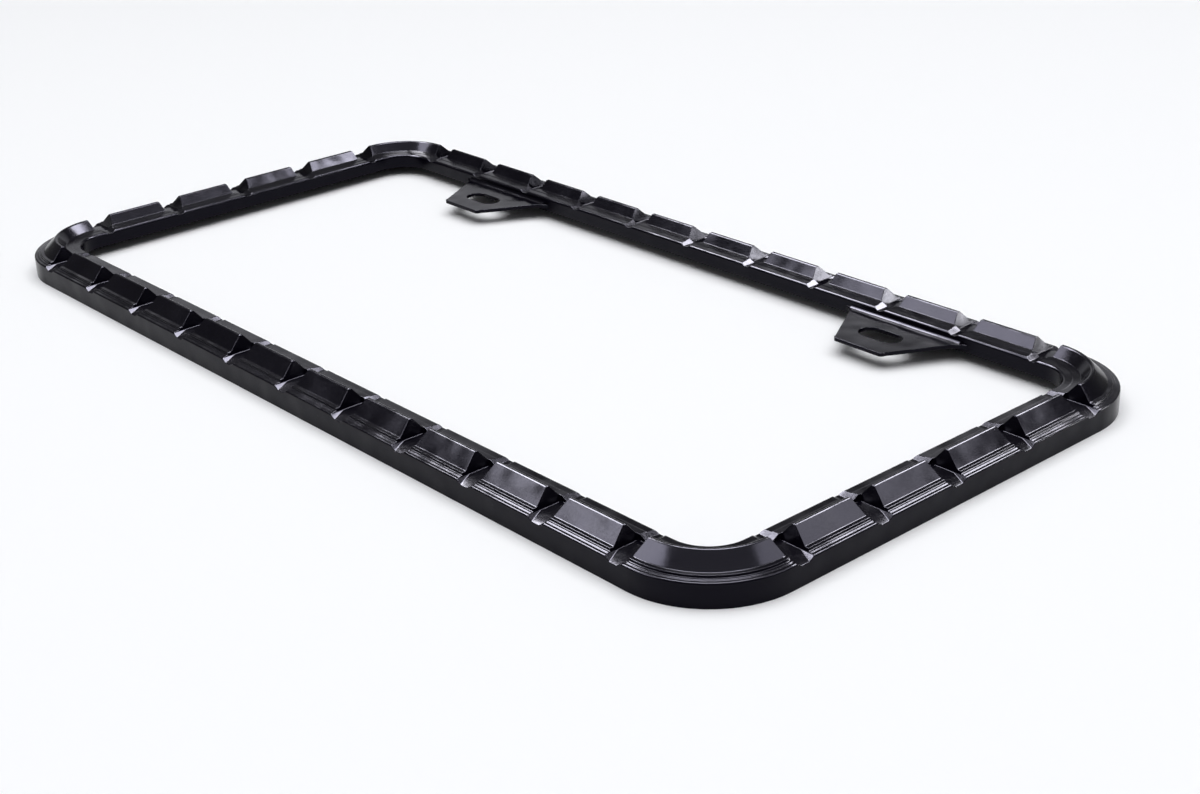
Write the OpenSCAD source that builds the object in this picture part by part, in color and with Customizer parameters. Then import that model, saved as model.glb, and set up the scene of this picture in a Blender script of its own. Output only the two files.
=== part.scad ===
// Number plate holder: a shallow cast frame that sits over the edge of a number plate.
// The face carries a rail of raised bevelled blocks with narrow gaps between them.
// A flat ledge runs round the window inside the blocks, and two slotted tabs grow from its inner wall.
// X runs along the long rails, Y from the plain long rail to the rail with the two tabs.
// Z is 0 on the plane the skirt stands on and rises to the ridge of the blocks.

/* [Frame] */
// Outer length over the skirts, mm
frame_length = 311.15; // [250:0.05:400]
// Outer width over the skirts, mm
frame_width = 158.75; // [120:0.05:220]
// Outer corner radius, mm
corner_radius = 24.5; // [18:0.5:28]
// Thickness of the skirt that stands round the plate, mm
skirt_wall = 1.6; // [1:0.1:3]
// Height of the flat back that the plate lies against, mm
back_height = 3; // [2:0.1:3.6]

/* [Rail] */
// Height of the rounded outer edge of the skirt, mm
skirt_height = 6.1; // [5.8:0.05:6.15]
// Radius of the outer edge of the skirt, mm
edge_radius = 0.45; // [0.2:0.05:0.6]
// Distance of the middle step from the outside, mm
mid_step_in = 1.2; // [1:0.05:1.5]
// Height of the middle step, mm
mid_step_height = 6.3; // [6.25:0.05:6.6]
// Distance of the upper step from the outside, mm
top_step_in = 2.0; // [1.8:0.05:2.4]
// Height of the upper step, mm
top_step_height = 6.9; // [6.7:0.05:6.95]
// Length of the short slope up each step, mm
step_run = 0.15; // [0.05:0.05:0.3]
// Rise of each tread towards the next step, mm
tread_rise = 0.05; // [0.02:0.01:0.1]

/* [Blocks] */
// Distance of the foot of the outer bevel from the outside, mm
bevel_foot_in = 3.1; // [2.6:0.05:3.6]
// Height of the foot of the outer bevel, mm
bevel_foot_height = 7; // [6.95:0.05:7.4]
// Distance of the ridge centre from the outside, mm
ridge_in = 7.05; // [6.3:0.05:7.8]
// Height of the ridge, mm
ridge_height = 10.4; // [9.5:0.05:12]
// Radius of the ridge, mm
ridge_radius = 0.8; // [0.5:0.05:1]
// Distance of the foot of the inner bevel from the outside, mm
inner_foot_in = 9.7; // [9.2:0.05:10.4]
// Height of the foot of the inner bevel, mm
inner_foot_height = 7.6; // [7.5:0.05:8]

/* [Ledge] */
// Distance of the fine step in the ledge from the outside, mm
ledge_step_in = 11.6; // [11:0.05:12.6]
// Height of the ledge at its fine step, mm
ledge_step_height = 7.5; // [7.4:0.05:7.6]
// Drop of the fine step in the ledge, mm
ledge_step_drop = 0.1; // [0.05:0.05:0.3]
// Distance of the inner wall from the outside, mm
wall_in = 14.2; // [13:0.05:15]
// Height of the inner wall, mm
wall_height = 7.35; // [7:0.05:7.35]
// Radius along the top of the inner wall, mm
wall_round = 0.8; // [0.2:0.1:1]

/* [Gaps] */
// Distance from one gap to the next, mm
block_pitch = 25.4; // [20:0.1:30]
// Width of a gap at the ridge of the blocks, mm
gap_mouth = 7.8; // [5.5:0.1:9]
// Width of a gap at its floor, mm
gap_floor = 5.3; // [4.5:0.1:7]
// Height of the floor of a gap, mm
floor_height = 6.05; // [5.8:0.05:6.1]
// Distance from the outside to where the level floor begins, mm
floor_start = 3.9; // [3:0.1:4.5]
// Distance from the outside to where the level floor ends, mm
floor_end = 9.9; // [9.4:0.1:11]
// Height of the floor of the notch in the outer edge, mm
notch_height = 5.15; // [4.8:0.05:5.6]
// Width of the notch in the outer edge at its floor, mm
notch_floor = 2.4; // [1:0.1:3.5]
// Height of the floor of the groove across the ledge, mm
groove_height = 6.6; // [6.15:0.05:6.8]
// Width of the groove across the ledge at its floor, mm
groove_floor = 1.2; // [0.5:0.1:2]
// Widening of the groove across the ledge for each mm of height, mm
groove_flare = 3.6; // [1:0.1:4]

/* [Tabs] */
// Distance between the centres of the two slots, mm
slot_spacing = 170.6; // [100:0.1:200]
// Length of a slot, mm
slot_length = 13.5; // [8:0.5:15]
// Width of a slot, mm
slot_width = 6.8; // [4:0.1:8]
// Width of the web between a slot and the front edge of its tab, mm
front_web = 6.2; // [2:0.1:8]
// Distance of the front edge of a tab from the outside of the rail, mm
tab_reach = 33.8; // [30:0.1:40]
// Width of a tab at its front edge, mm
tab_front = 17.2; // [16:0.2:22]
// Width of a tab where it leaves the inner wall, mm
tab_root = 38; // [24:0.5:60]
// Size of the small gusset in each corner between a tab and the inner wall, mm
tab_gusset = 2; // [0.5:0.1:4]
// Height of the top of a tab, mm
tab_height = 5.1; // [4.8:0.05:5.6]
// Thickness of a tab, mm
tab_thickness = 1.1; // [0.8:0.1:1.6]
// Radius of the fillet between the top of a tab and the inner wall, mm
tab_fillet = 1.2; // [0.5:0.1:1.4]
// Radius of the front corners of a tab, mm
tab_corner = 1.2; // [0.5:0.1:3]

/* [Hidden] */
$fn = 48;
half_length = frame_length / 2;
half_width = frame_width / 2;
long_run = frame_length - 2 * corner_radius;
short_run = frame_width - 2 * corner_radius;
ridge_centre = ridge_height - ridge_radius;
clear = 2;

// Tilt of a bevel that rises from its foot and just touches the round of the ridge.
function bevel_tilt(run, rise) = atan2(rise, run) + asin(ridge_radius / norm([run, rise]));

// Number of gaps, evenly pitched about the middle, that fit on a straight run.
function gap_count(run) = 1 + 2 * floor((run - gap_mouth) / 2 / block_pitch);

// One upright section of the rail: x is the distance from the outside, y is the height.
module rail_section() {
    outer_tilt = bevel_tilt(ridge_in - bevel_foot_in, ridge_centre - bevel_foot_height);
    inner_tilt = bevel_tilt(inner_foot_in - ridge_in, ridge_centre - inner_foot_height);
    outer_touch = [ridge_in - ridge_radius * sin(outer_tilt), ridge_centre + ridge_radius * cos(outer_tilt)];
    inner_touch = [ridge_in + ridge_radius * sin(inner_tilt), ridge_centre + ridge_radius * cos(inner_tilt)];
    polygon([
        [0, 0],
        [0, skirt_height - edge_radius],
        [edge_radius, skirt_height],
        [mid_step_in - step_run, skirt_height + tread_rise],
        [mid_step_in, mid_step_height],
        [top_step_in - step_run, mid_step_height + tread_rise],
        [top_step_in, top_step_height],
        [bevel_foot_in - step_run, top_step_height + tread_rise],
        [bevel_foot_in, bevel_foot_height],
        outer_touch,
        inner_touch,
        [inner_foot_in, inner_foot_height],
        [ledge_step_in, ledge_step_height],
        [ledge_step_in + step_run, ledge_step_height - ledge_step_drop],
        [wall_in - wall_round, wall_height],
        [wall_in, wall_height - wall_round],
        [wall_in, back_height],
        [skirt_wall, back_height],
        [skirt_wall, 0]
    ]);
    translate([edge_radius, skirt_height - edge_radius])
        circle(r = edge_radius);
    translate([ridge_in, ridge_centre])
        circle(r = ridge_radius);
    translate([wall_in - wall_round, wall_height - wall_round])
        circle(r = wall_round);
}

// A straight rail along X with its outside on y = 0 and its inside towards +Y.
module straight_rail(run) {
    translate([-run / 2, 0, 0])
        rotate([90, 0, 90])
            linear_extrude(height = run)
                rail_section();
}

// A quarter turn of the rail round a corner, in the +X +Y quarter.
module corner_rail() {
    rotate_extrude(angle = 90)
        translate([corner_radius, 0])
            mirror([1, 0])
                rail_section();
}

// Outline of a gap between two blocks: x runs along the rail, y is the height.
module gap_outline() {
    polygon([
        [-notch_floor / 2, notch_height],
        [notch_floor / 2, notch_height],
        [gap_floor / 2, floor_height],
        [gap_mouth / 2, ridge_height],
        [gap_mouth / 2, ridge_height + clear],
        [-gap_mouth / 2, ridge_height + clear],
        [-gap_mouth / 2, ridge_height],
        [-gap_floor / 2, floor_height]
    ]);
}

// Room over the floor of a gap: x is the distance from the outside, y is the height.
module gap_fall() {
    polygon([
        [-clear, notch_height],
        [0, notch_height],
        [floor_start, floor_height],
        [floor_end, floor_height],
        [floor_end, inner_foot_height],
        [wall_in, inner_foot_height],
        [wall_in, ridge_height + clear],
        [-clear, ridge_height + clear]
    ]);
}

// Outline of the shallow groove that carries a gap on across the ledge.
module groove_outline() {
    rise = inner_foot_height + clear - groove_height;
    half_top = (groove_floor + groove_flare * rise) / 2;
    polygon([
        [-groove_floor / 2, groove_height],
        [groove_floor / 2, groove_height],
        [half_top, groove_height + rise],
        [-half_top, groove_height + rise]
    ]);
}

// A prism across the rail, from one distance from the outside to another.
module across_rail(start, end) {
    translate([0, end, 0])
        rotate([90, 0, 0])
            linear_extrude(height = end - start)
                children();
}

// The room of one gap: level between the blocks, falling to the outside, shallow across the ledge.
module gap_room() {
    intersection() {
        across_rail(-clear, wall_in)
            gap_outline();
        translate([-gap_mouth / 2, 0, 0])
            rotate([90, 0, 90])
                linear_extrude(height = gap_mouth)
                    gap_fall();
    }
    across_rail(inner_foot_in, wall_in + clear)
        groove_outline();
}

// A row of gaps, evenly pitched about the middle of a rail.
module gap_row(count) {
    for (i = [0 : count - 1])
        translate([(i - (count - 1) / 2) * block_pitch, 0, 0])
            gap_room();
}

// Outline of a tab in plan with its slot; the outside of the rail is y = 0.
module tab_outline() {
    front_in = tab_reach - tab_corner;
    front_half = tab_front / 2 - tab_corner;
    slot_in = tab_reach - front_web - slot_width / 2;
    gusset_half = tab_root / 2 - tab_gusset * (tab_root - tab_front) / 2 / (front_in - wall_in);
    difference() {
        union() {
            polygon([
                [-tab_root / 2 - tab_gusset, floor_end],
                [tab_root / 2 + tab_gusset, floor_end],
                [tab_root / 2 + tab_gusset, wall_in],
                [gusset_half, wall_in + tab_gusset],
                [tab_front / 2, front_in],
                [front_half, tab_reach],
                [-front_half, tab_reach],
                [-tab_front / 2, front_in],
                [-gusset_half, wall_in + tab_gusset],
                [-tab_root / 2 - tab_gusset, wall_in]
            ]);
            for (s = [-1, 1])
                translate([s * front_half, front_in])
                    circle(r = tab_corner);
        }
        for (s = [-1, 1])
            translate([s * (slot_length - slot_width) / 2, slot_in])
                circle(d = slot_width);
        translate([0, slot_in])
            square([slot_length - slot_width, slot_width], center = true);
    }
}

// A tab that reaches inwards from the inner wall, with a fillet along the top of its root.
module tab() {
    translate([0, 0, tab_height - tab_thickness])
        linear_extrude(height = tab_thickness)
            tab_outline();
    translate([-tab_root / 2, wall_in, tab_height])
        rotate([90, 0, 90])
            linear_extrude(height = tab_root)
                difference() {
                    translate([-wall_round, -tab_thickness / 2])
                        square([wall_round + tab_fillet, tab_thickness / 2 + tab_fillet]);
                    translate([tab_fillet, tab_fillet])
                        circle(r = tab_fillet);
                }
}

// The four rails with their corners, before the gaps are cut.
module plain_rim() {
    for (turn = [0, 180])
        rotate([0, 0, turn]) {
            translate([0, -half_width, 0])
                straight_rail(long_run);
            rotate([0, 0, 90])
                translate([0, -half_length, 0])
                    straight_rail(short_run);
            translate([long_run / 2, short_run / 2, 0])
                corner_rail();
            translate([-long_run / 2, short_run / 2, 0])
                rotate([0, 0, 90])
                    corner_rail();
        }
}

// The whole frame, cast in one piece.
module plate_frame() {
    color([0.03, 0.03, 0.035]) {
        difference() {
            plain_rim();
            for (turn = [0, 180])
                rotate([0, 0, turn]) {
                    translate([0, -half_width, 0])
                        gap_row(gap_count(long_run));
                    rotate([0, 0, 90])
                        translate([0, -half_length, 0])
                            gap_row(gap_count(short_run));
                }
        }
        for (s = [-1, 1])
            translate([s * slot_spacing / 2, half_width, 0])
                mirror([0, 1, 0])
                    tab();
    }
}

plate_frame();
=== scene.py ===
import math

import bpy
from bpy.props import FloatProperty, FloatVectorProperty, IntProperty, PointerProperty
from bpy.types import Operator, Panel, PropertyGroup
from mathutils import Matrix, Vector


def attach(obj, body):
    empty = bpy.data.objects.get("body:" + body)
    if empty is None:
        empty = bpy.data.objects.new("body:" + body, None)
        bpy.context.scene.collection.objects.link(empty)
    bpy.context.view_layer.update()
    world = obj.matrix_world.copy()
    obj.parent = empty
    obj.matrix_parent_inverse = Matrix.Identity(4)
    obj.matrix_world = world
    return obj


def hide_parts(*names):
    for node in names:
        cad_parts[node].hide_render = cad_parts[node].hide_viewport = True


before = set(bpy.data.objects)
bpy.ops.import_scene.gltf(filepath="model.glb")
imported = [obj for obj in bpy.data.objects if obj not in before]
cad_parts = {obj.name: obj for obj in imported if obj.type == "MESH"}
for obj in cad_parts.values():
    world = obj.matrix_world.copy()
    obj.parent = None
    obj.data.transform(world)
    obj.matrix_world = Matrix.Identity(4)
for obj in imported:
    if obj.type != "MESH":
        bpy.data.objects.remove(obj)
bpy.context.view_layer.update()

bl_info = {
    "name": "Number Plate Holder",
    "version": (1, 0, 0),
    "blender": (4, 5, 0),
    "location": "3D View > Sidebar > Plate Holder",
    "description": "Dresses the number plate holder and sets up its studio",
    "category": "Add Mesh",
}

NODE = "plate_frame"

# Where the CAD mesh is softened, in metres
TOP_Z = max(point.co.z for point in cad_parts[NODE].data.vertices)
RIDGE_LINE_Z = TOP_Z - 0.0001  # only the top lines of the ridges lie above this
RIDGE_ROUND_Z = TOP_Z - 0.0003  # only the rounding of the ridges lies above this
TAB_X = 0.0853  # distance of a tab's middle from the middle of the frame
TAB_ROOT = 0.0380  # length of a tab's root and of its fillet
FILLET_ENDS = (TAB_X - TAB_ROOT / 2, TAB_X + TAB_ROOT / 2)
FILLET_NEAR_Y = 0.0630  # the fillets lie between this line
FILLET_FAR_Y = 0.0700  # and this one
FILLET_TOP_Z = 0.0068  # and below this height
END_REACH = 0.0003  # how near to a fillet's end an edge is left sharp

# How the merged copy of the CAD mesh is shaded
WELD_REACH = 0.000002  # points nearer than this become one, in metres
FLAT_ANGLE = math.radians(0.3)  # faces that turn by less become one
SMOOTH_ANGLE = math.radians(40.0)  # edges that turn by more are shaded sharp
FACE_WEIGHT = 90  # how much the large faces govern the shading

# How the paint varies
SWELL_DETAIL, GRAIN_DETAIL = 1.0, 3.0  # octaves of the two noises
GRAIN_SHARE = 0.5  # share of the grain in what the roughness follows
NOISE_LOW, NOISE_HIGH = 0.3, 0.7  # range of the noises that the roughness follows
ROUGH_SPREAD = 0.35  # share by which the roughness varies about its mean
NIB_HEIGHT = 0.5  # height of a nib as a share of its radius
ROUND_SAMPLES = 8  # rays that find how near a corner is

TABLE_SIZE = 12.0  # metres
SENSOR_WIDTH = 36.0  # millimetres
CLIP_NEAR, CLIP_FAR = 0.01, 20.0  # metres from the camera


class PlateLookSettings(PropertyGroup):
    """Finish of the cast frame"""

    ridge_soft: FloatProperty(
        name="Ridge softness",
        description="Width over which the top line of a ridge is rounded",
        default=0.00032,
        min=0.00005,
        max=0.001,
        subtype="DISTANCE",
        unit="LENGTH",
    )
    ridge_segments: IntProperty(
        name="Ridge segments",
        description="Faces across the rounded top of a ridge",
        default=4,
        min=1,
        max=6,
    )
    edge_soft: FloatProperty(
        name="Edge softness",
        description="Width over which the other sharp edges are rounded",
        default=0.0001,
        min=0.00005,
        max=0.001,
        subtype="DISTANCE",
        unit="LENGTH",
    )
    edge_angle: FloatProperty(
        name="Edge angle",
        description="Corners that turn by more than this are softened",
        default=math.radians(24.0),
        min=math.radians(5.0),
        max=math.radians(80.0),
        subtype="ANGLE",
        unit="ROTATION",
    )
    edge_segments: IntProperty(
        name="Edge segments",
        description="Faces across each softened corner",
        default=2,
        min=1,
        max=4,
    )
    round_radius: FloatProperty(
        name="Round radius",
        description="Radius over which the paint's gloss runs round a corner",
        default=0.00016,
        min=0.00005,
        max=0.002,
        subtype="DISTANCE",
        unit="LENGTH",
    )
    paint_color: FloatVectorProperty(
        name="Paint colour",
        description="Gloss black paint on the casting",
        default=(0.0014, 0.001, 0.0034),
        min=0.0,
        max=1.0,
        size=3,
        subtype="COLOR",
    )
    gloss_tint: FloatVectorProperty(
        name="Gloss tint",
        description="Colour that the paint's gloss gives to what it mirrors",
        default=(0.83, 0.82, 1.0),
        min=0.0,
        max=1.0,
        size=3,
        subtype="COLOR",
    )
    paint_ior: FloatProperty(
        name="Paint IOR",
        description="Index of refraction of the paint, which sets how strongly it mirrors",
        default=1.2,
        min=1.05,
        max=2.0,
    )
    paint_roughness: FloatProperty(
        name="Paint roughness",
        description="Mean roughness of the paint",
        default=0.17,
        min=0.0,
        max=1.0,
        subtype="FACTOR",
    )
    swell_size: FloatProperty(
        name="Swell size",
        description="Size of the soft swells in the cast surface",
        default=0.011,
        min=0.001,
        max=0.05,
        subtype="DISTANCE",
        unit="LENGTH",
    )
    swell_depth: FloatProperty(
        name="Swell depth",
        description="Depth of the soft swells in the cast surface",
        default=0.00042,
        min=0.0,
        max=0.001,
        subtype="DISTANCE",
        unit="LENGTH",
    )
    grain_size: FloatProperty(
        name="Grain size",
        description="Size of the fine grain in the paint",
        default=0.0007,
        min=0.0001,
        max=0.005,
        subtype="DISTANCE",
        unit="LENGTH",
    )
    grain_depth: FloatProperty(
        name="Grain depth",
        description="Depth of the fine grain in the paint",
        default=0.000006,
        min=0.0,
        max=0.0001,
        subtype="DISTANCE",
        unit="LENGTH",
    )
    nib_spacing: FloatProperty(
        name="Nib spacing",
        description="Mean distance between the dust nibs caught in the paint",
        default=0.008,
        min=0.001,
        max=0.05,
        subtype="DISTANCE",
        unit="LENGTH",
    )
    nib_size: FloatProperty(
        name="Nib size",
        description="Radius of a dust nib",
        default=0.00018,
        min=0.00005,
        max=0.001,
        subtype="DISTANCE",
        unit="LENGTH",
    )


class StudioSettings(PropertyGroup):
    """Table, light and camera"""

    table_color: FloatVectorProperty(
        name="Table colour",
        description="Colour of the pale table",
        default=(0.95, 0.96, 0.985),
        min=0.0,
        max=1.0,
        size=3,
        subtype="COLOR",
    )
    sky_strength: FloatProperty(
        name="Sky strength",
        description="Strength of the even light from all round",
        default=0.2,
        min=0.0,
        max=2.0,
    )
    lens: FloatProperty(
        name="Lens",
        description="Focal length on a 36 mm wide sensor, in millimetres",
        default=56.61,
        min=20.0,
        max=200.0,
    )
    azimuth: FloatProperty(
        name="Azimuth",
        description="Turn of the camera round the frame from straight in front",
        default=math.radians(49.007),
        subtype="ANGLE",
        unit="ROTATION",
    )
    elevation: FloatProperty(
        name="Elevation",
        description="Height of the camera above the table",
        default=math.radians(24.235),
        subtype="ANGLE",
        unit="ROTATION",
    )
    roll: FloatProperty(
        name="Roll",
        description="Tilt of the camera about its own line of sight",
        default=math.radians(-1.968),
        subtype="ANGLE",
        unit="ROTATION",
    )
    distance: FloatProperty(
        name="Distance",
        description="Distance of the camera from the point it looks at",
        default=0.47477,
        subtype="DISTANCE",
        unit="LENGTH",
    )
    target: FloatVectorProperty(
        name="Target",
        description="Point that the camera looks at",
        default=(0.061257, -0.024181, 0.005),
        size=3,
        subtype="TRANSLATION",
        unit="LENGTH",
    )


def clear_selection():
    """Leave object mode with nothing selected."""
    if bpy.context.object and bpy.context.object.mode != "OBJECT":
        bpy.ops.object.mode_set(mode="OBJECT")
    bpy.ops.object.select_all(action="DESELECT")


def make_active(piece):
    """Select one piece alone and make it the active one."""
    clear_selection()
    piece.select_set(True)
    bpy.context.view_layer.objects.active = piece


def new_material(name):
    """Return a material with an empty node tree and its tree."""
    material = bpy.data.materials.new(name)
    material.use_nodes = True
    material.node_tree.nodes.clear()
    return material, material.node_tree


def add_noise(tree, place, size, detail):
    """Add a noise whose features have one size in metres."""
    noise = tree.nodes.new("ShaderNodeTexNoise")
    noise.inputs["Scale"].default_value = 1.0 / size
    noise.inputs["Detail"].default_value = detail
    tree.links.new(place.outputs["Object"], noise.inputs["Vector"])
    return noise


def add_bump(tree, height, depth, below=None):
    """Raise the surface by a height field, over the normal of another node if one is given."""
    bump = tree.nodes.new("ShaderNodeBump")
    bump.inputs["Distance"].default_value = depth
    tree.links.new(height, bump.inputs["Height"])
    if below is not None:
        tree.links.new(below.outputs["Normal"], bump.inputs["Normal"])
    return bump


def add_range(tree, value, before, after):
    """Map one range of a value to another, and hold it at the ends."""
    span = tree.nodes.new("ShaderNodeMapRange")
    span.inputs["From Min"].default_value = before[0]
    span.inputs["From Max"].default_value = before[1]
    span.inputs["To Min"].default_value = after[0]
    span.inputs["To Max"].default_value = after[1]
    tree.links.new(value, span.inputs["Value"])
    return span


def gloss_black_paint(look):
    """Gloss black paint over a casting: soft swells, fine grain, a few nibs and an uneven gloss."""
    material, tree = new_material("gloss_black_paint")
    output = tree.nodes.new("ShaderNodeOutputMaterial")
    shader = tree.nodes.new("ShaderNodeBsdfPrincipled")
    shader.inputs["Base Color"].default_value = (*look.paint_color, 1.0)
    shader.inputs["IOR"].default_value = look.paint_ior
    shader.inputs["Specular Tint"].default_value = (*look.gloss_tint, 1.0)
    tree.links.new(shader.outputs["BSDF"], output.inputs["Surface"])
    place = tree.nodes.new("ShaderNodeTexCoord")

    swell = add_noise(tree, place, look.swell_size, SWELL_DETAIL)
    grain = add_noise(tree, place, look.grain_size, GRAIN_DETAIL)
    nibs = tree.nodes.new("ShaderNodeTexVoronoi")
    nibs.inputs["Scale"].default_value = 1.0 / look.nib_spacing
    tree.links.new(place.outputs["Object"], nibs.inputs["Vector"])
    nib_reach = look.nib_size / look.nib_spacing
    nib = add_range(tree, nibs.outputs["Distance"], (0.0, nib_reach), (1.0, 0.0))

    rounded = tree.nodes.new("ShaderNodeBevel")
    rounded.samples = ROUND_SAMPLES
    rounded.inputs["Radius"].default_value = look.round_radius
    first = add_bump(tree, swell.outputs["Fac"], look.swell_depth, rounded)
    second = add_bump(tree, grain.outputs["Fac"], look.grain_depth, first)
    third = add_bump(tree, nib.outputs["Result"], look.nib_size * NIB_HEIGHT, second)
    tree.links.new(third.outputs["Normal"], shader.inputs["Normal"])

    gloss = tree.nodes.new("ShaderNodeMix")
    gloss.data_type = "FLOAT"
    gloss.inputs["Factor"].default_value = GRAIN_SHARE
    tree.links.new(swell.outputs["Fac"], gloss.inputs["A"])
    tree.links.new(grain.outputs["Fac"], gloss.inputs["B"])
    smoothest = look.paint_roughness * (1.0 - ROUGH_SPREAD)
    roughest = look.paint_roughness * (1.0 + ROUGH_SPREAD)
    rough = add_range(
        tree, gloss.outputs["Result"], (NOISE_LOW, NOISE_HIGH), (smoothest, roughest)
    )
    tree.links.new(rough.outputs["Result"], shader.inputs["Roughness"])
    return material


def table_material(studio):
    """Pale matt table top."""
    material, tree = new_material("pale_table")
    output = tree.nodes.new("ShaderNodeOutputMaterial")
    shader = tree.nodes.new("ShaderNodeBsdfDiffuse")
    shader.inputs["Color"].default_value = (*studio.table_color, 1.0)
    tree.links.new(shader.outputs["BSDF"], output.inputs["Surface"])
    return material


def merged_copy(node, name):
    """Return a copy of a CAD node's mesh with its loose triangles merged into faces."""
    piece = bpy.data.objects.new(name, node.data.copy())
    bpy.context.collection.objects.link(piece)
    make_active(piece)
    bpy.ops.object.mode_set(mode="EDIT")
    bpy.ops.mesh.select_all(action="SELECT")
    bpy.ops.mesh.customdata_custom_splitnormals_clear()
    bpy.ops.mesh.remove_doubles(threshold=WELD_REACH)
    bpy.ops.mesh.dissolve_limited(angle_limit=FLAT_ANGLE)
    bpy.ops.object.mode_set(mode="OBJECT")
    return piece


def on_ridge(ends):
    """Tell whether an edge is the top line of a ridge."""
    return min(point.z for point in ends) > RIDGE_LINE_Z


def at_fillet_end(point):
    """Tell whether a point is at an end of a tab's fillet, which is too thin to be softened."""
    beside = any(abs(abs(point.x) - end) < END_REACH for end in FILLET_ENDS)
    return beside and FILLET_NEAR_Y < point.y < FILLET_FAR_Y and point.z < FILLET_TOP_Z


def off_ridge_and_fillet(ends):
    """Tell whether an edge is clear of the rounded ridges and of the ends of the fillets."""
    on_round = min(point.z for point in ends) > RIDGE_ROUND_Z
    return not on_round and not any(at_fillet_end(point) for point in ends)


def soften_edges(piece, angle, width, segments, wanted):
    """Round those edges of a piece that turn by more than an angle and pass a test."""
    bpy.ops.object.mode_set(mode="EDIT")
    bpy.ops.mesh.select_mode(type="EDGE")
    bpy.ops.mesh.select_all(action="DESELECT")
    bpy.ops.mesh.edges_select_sharp(sharpness=angle)
    bpy.ops.object.mode_set(mode="OBJECT")
    mesh = piece.data
    points = mesh.vertices
    chosen = [
        edge.select and wanted([points[end].co for end in edge.vertices])
        for edge in mesh.edges
    ]
    mesh.vertices.foreach_set("select", [False] * len(mesh.vertices))
    mesh.polygons.foreach_set("select", [False] * len(mesh.polygons))
    mesh.edges.foreach_set("select", chosen)
    bpy.ops.object.mode_set(mode="EDIT")
    bpy.ops.mesh.bevel(offset=width, segments=segments, affect="EDGES", clamp_overlap=False)
    bpy.ops.object.mode_set(mode="OBJECT")


def shade_faces(piece):
    """Shade the rounded edges smooth and keep the large faces flat."""
    bpy.ops.object.shade_smooth_by_angle(angle=SMOOTH_ANGLE)
    flatten = piece.modifiers.new("flat_faces", "WEIGHTED_NORMAL")
    flatten.mode = "FACE_AREA"
    flatten.weight = FACE_WEIGHT
    flatten.keep_sharp = True
    bpy.ops.object.modifier_apply(modifier=flatten.name)


class PLATE_OT_cast_frame(Operator):
    """Give the cast frame its gloss black paint"""

    bl_idname = "plate.cast_frame"
    bl_label = "Cast Frame"

    def execute(self, context):
        look = context.scene.plate_look
        cast = merged_copy(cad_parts[NODE], "cast_frame")
        angle = look.edge_angle
        soften_edges(cast, angle, look.ridge_soft, look.ridge_segments, on_ridge)
        soften_edges(cast, angle, look.edge_soft, look.edge_segments, off_ridge_and_fillet)
        shade_faces(cast)
        cast.data.materials.clear()
        cast.data.materials.append(gloss_black_paint(look))
        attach(cast, "root")
        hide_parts(NODE)
        return {"FINISHED"}


WHITE = (1.0, 1.0, 1.0)
KEY_TINT = (0.96, 0.95, 1.0)
SOFT_TINT = (0.95, 0.94, 1.0)
CARD_TINT = (0.92, 0.93, 1.0)

# Soft lamps: name, direction from the middle of the frame, distance, width and height in
# metres, how bright each looks, its colour, and whether it also lights what isn't glossy
LAMPS = (
    ("overhead_softbox", (0.05, 0.0, 1.0), 1.60, 2.40, 2.40, 2.0, WHITE, True),
    ("backdrop_card", (-0.66, 0.65, 0.27), 1.30, 1.80, 0.40, 0.9, CARD_TINT, False),
    ("left_key", (-0.586, -0.04, 0.808), 0.833, 0.46, 0.22, 80.0, KEY_TINT, False),
    ("top_key", (-0.12, 0.20, 0.97), 0.873, 0.50, 0.30, 70.0, KEY_TINT, False),
    ("back_key", (0.105, 0.685, 0.721), 0.896, 0.38, 0.20, 75.0, KEY_TINT, False),
    ("side_softbox", (-0.375, -0.592, 0.713), 0.891, 0.52, 0.26, 24.0, SOFT_TINT, False),
    ("back_softbox", (0.621, 0.453, 0.639), 0.977, 0.55, 0.26, 11.0, SOFT_TINT, False),
    ("low_strip", (0.715, 0.69, 0.06), 0.52, 0.10, 0.05, 60.0, WHITE, False),
)


def add_lamp(name, way, distance, width, height, glow, tint, on_matt):
    """Add one soft rectangular lamp that faces the middle of the frame."""
    way = Vector(way).normalized()
    clear_selection()
    bpy.ops.object.light_add(type="AREA", location=way * distance)
    lamp = bpy.context.object
    lamp.name = name
    lamp.data.shape = "RECTANGLE"
    lamp.data.size = width
    lamp.data.size_y = height
    lamp.data.energy = glow * math.pi * width * height
    lamp.data.color = tint
    lamp.rotation_mode = "QUATERNION"
    lamp.rotation_quaternion = (-way).to_track_quat("-Z", "Y")
    lamp.visible_camera = False
    lamp.visible_diffuse = on_matt


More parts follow.
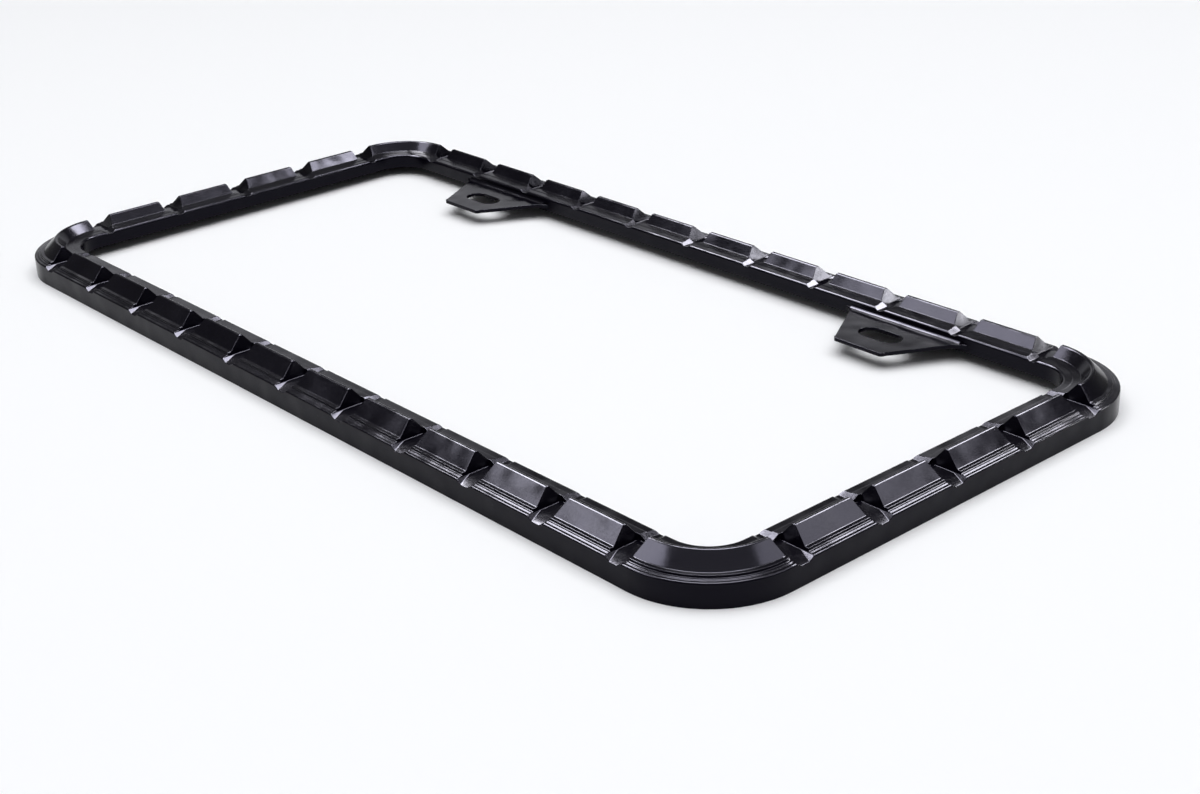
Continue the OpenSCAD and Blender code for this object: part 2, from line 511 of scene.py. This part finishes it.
class PLATE_OT_studio(Operator):
    """Set up the pale table, the soft light and the camera"""

    bl_idname = "plate.studio"
    bl_label = "Studio"

    def execute(self, context):
        studio = context.scene.plate_studio
        clear_selection()
        bpy.ops.mesh.primitive_plane_add(size=TABLE_SIZE, location=(0.0, 0.0, 0.0))
        table = context.object
        table.name = "table"
        table.data.materials.append(table_material(studio))

        world = bpy.data.worlds.new("studio_sky")
        world.use_nodes = True
        sky = world.node_tree.nodes["Background"]
        sky.inputs["Color"].default_value = (*WHITE, 1.0)
        sky.inputs["Strength"].default_value = studio.sky_strength
        context.scene.world = world

        for lamp in LAMPS:
            add_lamp(*lamp)
        self.add_camera(context, studio)
        context.scene.view_settings.view_transform = "Standard"
        return {"FINISHED"}

    def add_camera(self, context, studio):
        """Stand the camera where the photograph was taken from."""
        turn, lift = studio.azimuth, studio.elevation
        back = Vector((
            math.sin(turn) * math.cos(lift),
            -math.cos(turn) * math.cos(lift),
            math.sin(lift),
        ))
        right = Vector((math.cos(turn), math.sin(turn), 0.0))
        up = back.cross(right)
        cosine, sine = math.cos(studio.roll), math.sin(studio.roll)
        axes = (cosine * right + sine * up, -sine * right + cosine * up, back)
        clear_selection()
        bpy.ops.object.camera_add(location=Vector(studio.target) + studio.distance * back)
        camera = context.object
        camera.name = "photo_camera"
        camera.rotation_mode = "QUATERNION"
        camera.rotation_quaternion = Matrix(axes).transposed().to_quaternion()
        camera.data.lens = studio.lens
        camera.data.sensor_width = SENSOR_WIDTH
        camera.data.clip_start = CLIP_NEAR
        camera.data.clip_end = CLIP_FAR
        context.scene.camera = camera


class PLATE_PT_panel(Panel):
    """Steps that dress the number plate holder"""

    bl_label = "Number Plate Holder"
    bl_idname = "PLATE_PT_panel"
    bl_space_type = "VIEW_3D"
    bl_region_type = "UI"
    bl_category = "Plate Holder"

    def draw(self, context):
        layout = self.layout
        for settings, operator in (
            (context.scene.plate_look, PLATE_OT_cast_frame),
            (context.scene.plate_studio, PLATE_OT_studio),
        ):
            for name in type(settings).__annotations__:
                layout.prop(settings, name)
            layout.operator(operator.bl_idname)


CLASSES = (
    PlateLookSettings,
    StudioSettings,
    PLATE_OT_cast_frame,
    PLATE_OT_studio,
    PLATE_PT_panel,
)


def register():
    for cls in CLASSES:
        bpy.utils.register_class(cls)
    bpy.types.Scene.plate_look = PointerProperty(type=PlateLookSettings)
    bpy.types.Scene.plate_studio = PointerProperty(type=StudioSettings)


def unregister():
    del bpy.types.Scene.plate_studio
    del bpy.types.Scene.plate_look
    for cls in reversed(CLASSES):
        bpy.utils.unregister_class(cls)


def main():
    register()
    bpy.ops.plate.cast_frame()
    bpy.ops.plate.studio()


if __name__ == "__main__":
    main()
